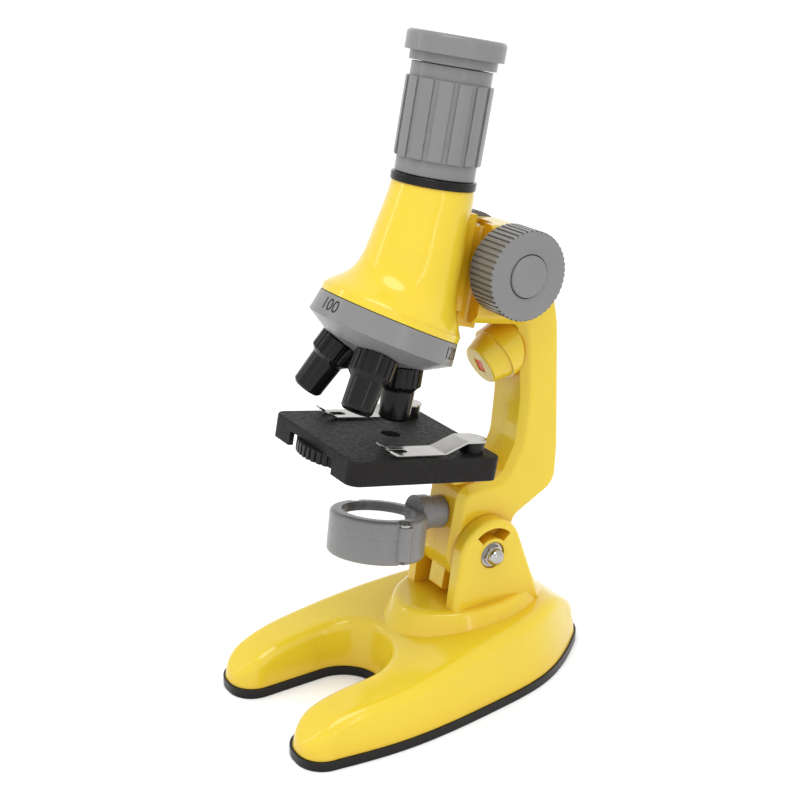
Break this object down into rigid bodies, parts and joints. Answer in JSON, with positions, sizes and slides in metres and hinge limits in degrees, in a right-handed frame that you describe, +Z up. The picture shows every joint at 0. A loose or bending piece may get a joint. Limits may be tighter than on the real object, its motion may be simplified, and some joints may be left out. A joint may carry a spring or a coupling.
{
  "type": "kids microscope",
  "caption": "Toy microscope with a tilting arm, objective turret, zoom eyepiece, focus knobs, stage with slide clips, flip-over mirror and lamp, on a horseshoe base.",
  "frame": {"origin": "on the table, under the middle of the bounding box of the base", "axes": "+Z up, +Y towards the back where the arm's spine is, +X towards the right-hand focus knob as the user looks into the eyepiece from the front"},
  "size_m": [0.0772, 0.13, 0.2252],
  "materials": {
    "yellow_plastic": "glossy moulded ABS",
    "grey_plastic": "satin moulded ABS",
    "black_plastic": "fine moulded texture",
    "black_gloss": "polished moulded plastic",
    "red_window": "clear tinted plastic",
    "white_plastic": "translucent white plastic",
    "chrome": "polished plating",
    "screw_steel": "zinc plated",
    "rubber": "soft foam rubber",
    "lens_glass": "polished clear glass",
    "mirror": "silvered glass",
    "cell_case": "plain printed sleeve",
    "circuit_board": "green circuit board"
  },
  "bodies": {
    "base": {"base_shell": "yellow_plastic", "base_plate": "black_plastic", "rubber_feet": "rubber", "base_screws": "screw_steel", "battery_door": "black_plastic", "door_screw": "screw_steel", "battery_cells": "cell_case", "battery_contacts": "screw_steel", "pivot_bolt": "chrome", "pivot_washers": "chrome", "dome_nut": "chrome"},
    "arm": {"arm_right_half": "yellow_plastic", "arm_left_half": "yellow_plastic", "arm_screws": "screw_steel", "lamp_housing": "yellow_plastic", "lamp_window": "red_window", "lamp_bulb": "white_plastic", "stage_plate": "black_plastic", "stage_screws": "screw_steel", "diaphragm_screw": "screw_steel"},
    "diaphragm": {"diaphragm_wheel": "black_plastic"},
    "clip_right": {"clip_right": "chrome", "clip_post_right": "black_plastic"},
    "clip_left": {"clip_left": "chrome", "clip_post_left": "black_plastic"},
    "tube": {"tube_body": "yellow_plastic", "tube_ring": "black_gloss", "draw_sleeve": "black_plastic", "focus_rail": "yellow_plastic", "rail_screws": "screw_steel", "turret_screw": "chrome", "turret_washer": "screw_steel"},
    "turret": {"turret_ring": "grey_plastic", "objective_rear": "black_gloss", "objective_left": "black_gloss", "objective_right": "black_gloss", "objective_lenses": "lens_glass"},
    "barrel": {"zoom_barrel": "grey_plastic"},
    "eyepiece": {"eyepiece_body": "grey_plastic", "eye_lens": "lens_glass", "field_lens": "lens_glass", "lens_spacer": "black_plastic", "lens_retainer": "black_plastic"},
    "focus_drive": {"focus_shaft": "screw_steel", "knob_right": "grey_plastic", "knob_left": "grey_plastic", "knob_cap_right": "grey_plastic", "knob_cap_left": "grey_plastic"},
    "mirror_unit": {"mirror_ring_upper": "grey_plastic", "mirror_ring_lower": "grey_plastic", "mirror_glass": "mirror", "lamp_board": "circuit_board", "stage_led": "white_plastic", "lamp_diffuser": "white_plastic", "ring_screws": "screw_steel", "mirror_spindle": "grey_plastic", "spindle_clip": "screw_steel"}
  },
  "joints": [
    {"name": "arm_tilt", "type": "hinge", "parent": "base", "child": "arm", "pos_m": [0, 0.019, 0.048], "axis": [-1, 0, 0], "range_deg": [-11, 34]},
    {"name": "focus_slide", "type": "slide", "parent": "arm", "child": "tube", "axis": [0, 0.1908, 0.9816], "range_m": [-0.003, 0.012]},
    {"name": "focus_turn", "type": "hinge", "parent": "arm", "child": "focus_drive", "pos_m": [0, 0.02532, 0.14864], "axis": [-1, 0, 0], "range_deg": [-39, 154]},
    {"name": "turret_turn", "type": "hinge", "parent": "tube", "child": "turret", "pos_m": [0, -0.01301, 0.13592], "axis": [0, 0.454, 0.891], "continuous": true},
    {"name": "eyepiece_slide", "type": "slide", "parent": "tube", "child": "eyepiece", "axis": [0, 0.1908, 0.9816], "range_m": [0, 0.008]},
    {"name": "barrel_turn", "type": "hinge", "parent": "tube", "child": "barrel", "pos_m": [0, 0.00645, 0.19306], "axis": [0, 0.1908, 0.9816], "range_deg": [0, 241]},
    {"name": "mirror_turn", "type": "hinge", "parent": "arm", "child": "mirror_unit", "pos_m": [0, 0.00765, 0.06141], "axis": [0, 0.9816, -0.1908], "range_deg": [-180, 180]},
    {"name": "diaphragm_turn", "type": "hinge", "parent": "arm", "child": "diaphragm", "pos_m": [0, -0.02687, 0.09766], "axis": [0, 0.1908, 0.9816], "continuous": true},
    {"name": "clip_right_turn", "type": "hinge", "parent": "arm", "child": "clip_right", "pos_m": [0.0195, 0.00651, 0.09118], "axis": [0, 0.1908, 0.9816], "range_deg": [-20, 90]},
    {"name": "clip_left_turn", "type": "hinge", "parent": "arm", "child": "clip_left", "pos_m": [-0.0195, 0.00651, 0.09118], "axis": [0, 0.1908, 0.9816], "range_deg": [-90, 20]}
  ],
  "couplings": [
    {"joint": "focus_turn", "follows": "focus_slide", "rad_per_m": 222.22},
    {"joint": "barrel_turn", "follows": "eyepiece_slide", "rad_per_m": 523.6}
  ]
}
